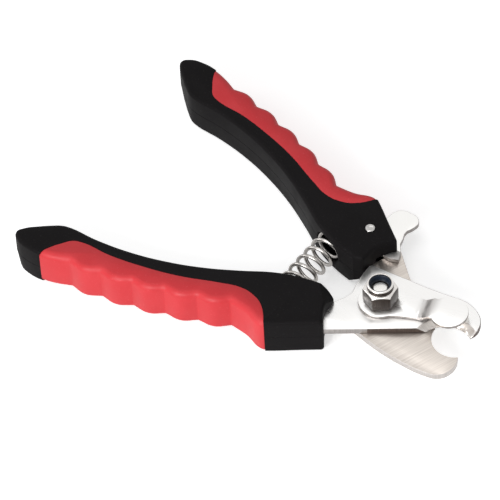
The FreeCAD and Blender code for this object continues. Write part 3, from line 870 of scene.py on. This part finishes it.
rivet = make_rivet()
finish_with(rivet, rivet_steel)
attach(rivet, "upper_lever")
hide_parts("lever_rivet")


# ---- Return spring ----

def make_spring():
    """A round section screwed up along the spring's axis."""
    bpy.ops.object.select_all(action="DESELECT")
    bpy.ops.mesh.primitive_circle_add(vertices=16, radius=SPRING_WIRE_R * MM,
                                      location=(SPRING_R * MM, 0, 0), rotation=(math.radians(90), 0, 0))
    spring = bpy.context.object
    spring.name = "return_spring_coil"
    settle(spring)
    pitch = 2 * SPRING_HALF / SPRING_TURNS
    apply_modifier(spring, "SCREW", axis="Z", screw_offset=pitch * MM, iterations=SPRING_TURNS, steps=40,
                   render_steps=40, use_merge_vertices=False)
    open_up(spring, "EDGE")
    bpy.ops.mesh.select_non_manifold()
    bpy.ops.mesh.fill_holes(sides=0)
    take(spring)
    spring.rotation_euler = (math.radians(-90), 0, 0)
    spring.location = (SPRING_X * MM, -SPRING_HALF * MM, 0)
    settle(spring)
    return close_up(spring, 60)


spring = make_spring()
finish_with(spring, spring_steel)
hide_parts("return_spring")
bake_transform(spring)


# ---- Floor, light and camera ----

FLOOR_GAP = 0.2
FLOOR_WIDTH = 4000.0
FLOOR_GREY = 0.82
FLOOR_GLOW = 0.5
WORLD_LIGHT = 0.39                  # the surroundings' strength as light
WORLD_SEEN = 1.0                    # and where they are looked at

CAMERA_AZIMUTH = 38.7
CAMERA_ELEVATION = 49.57
CAMERA_ROLL = 3.53
CAMERA_DISTANCE = 1600.0
CAMERA_LENS = 360.0
CAMERA_AIM = (-41.6, -13.15, 13.0)


def looked_at(nodes, links):
    """One where the camera, a reflection or glass looks, and nothing where light is gathered."""
    path = nodes.new("ShaderNodeLightPath")
    seen = sums(nodes, links, "MAXIMUM", path.outputs["Is Camera Ray"], path.outputs["Is Glossy Ray"])
    return sums(nodes, links, "MAXIMUM", seen, path.outputs["Is Transmission Ray"])


def shows_as_white(nodes, links, lit, share):
    """The lit surface with white added where it is looked at."""
    glow = nodes.new("ShaderNodeEmission")
    links.new(sums(nodes, links, "MULTIPLY", looked_at(nodes, links), share), glow.inputs["Strength"])
    both = nodes.new("ShaderNodeAddShader")
    links.new(lit, both.inputs[0])
    links.new(glow.outputs["Emission"], both.inputs[1])
    return both.outputs["Shader"]


def make_floor():
    """A pale floor just under the clipper."""
    bpy.ops.object.select_all(action="DESELECT")
    bpy.ops.mesh.primitive_plane_add(size=FLOOR_WIDTH * MM, location=(0, 0, cad_low.z - FLOOR_GAP * MM))
    floor = bpy.context.object
    floor.name = "floor"
    material = bpy.data.materials.new("pale_floor")
    material.use_nodes = True
    nodes, links = material.node_tree.nodes, material.node_tree.links
    nodes.remove(nodes["Principled BSDF"])
    matt = nodes.new("ShaderNodeBsdfDiffuse")
    matt.inputs["Color"].default_value = (FLOOR_GREY, FLOOR_GREY, FLOOR_GREY, 1)
    surface = shows_as_white(nodes, links, matt.outputs["BSDF"], FLOOR_GLOW)
    links.new(surface, nodes["Material Output"].inputs["Surface"])
    floor.data.materials.append(material)
    floor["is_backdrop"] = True


def make_world():
    """White surroundings that give less light than they show."""
    world = bpy.data.worlds.new("studio")
    bpy.context.scene.world = world
    world.use_nodes = True
    nodes, links = world.node_tree.nodes, world.node_tree.links
    background = nodes["Background"]
    background.inputs["Color"].default_value = (1, 1, 1, 1)
    extra = sums(nodes, links, "MULTIPLY", looked_at(nodes, links), WORLD_SEEN - WORLD_LIGHT)
    links.new(sums(nodes, links, "ADD", extra, WORLD_LIGHT), background.inputs["Strength"])


def lamp(name, energy, size, azimuth, elevation, distance=0.9):
    """A soft square lamp aimed at the clipper; azimuth 0 stands on the -Y side, 90 on the +X side."""
    a, e = math.radians(azimuth), math.radians(elevation)
    away = Vector((math.sin(a) * math.cos(e), -math.cos(a) * math.cos(e), math.sin(e)))
    bpy.ops.object.light_add(type="AREA", location=away * distance)
    light = bpy.context.object
    light.name = name
    light.data.energy = energy
    light.data.size = size
    light.rotation_euler = away.to_track_quat("Z", "Y").to_euler()


make_floor()
make_world()
lamp("key_lamp", 1.2, 0.20, 0, 24, 0.35)
lamp("top_lamp", 1.6, 0.6, -60, 80)
lamp("edge_lamp", 1.2, 0.3, -72, 28)

bpy.ops.object.camera_add()
camera = bpy.context.object
camera.data.sensor_width = 36.0
camera.data.lens = CAMERA_LENS
camera.data.clip_end = 10.0
turned = (Matrix.Rotation(math.radians(CAMERA_AZIMUTH), 4, "Z")
          @ Matrix.Rotation(math.radians(90 - CAMERA_ELEVATION), 4, "X")
          @ Matrix.Rotation(math.radians(-CAMERA_ROLL), 4, "Z"))
aim = Vector(CAMERA_AIM) * MM
camera.matrix_world = Matrix.Translation(aim) @ turned @ Matrix.Translation(UP * CAMERA_DISTANCE * MM)
bpy.context.scene.camera = camera
bpy.context.scene.view_settings.view_transform = "Standard"

low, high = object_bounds()
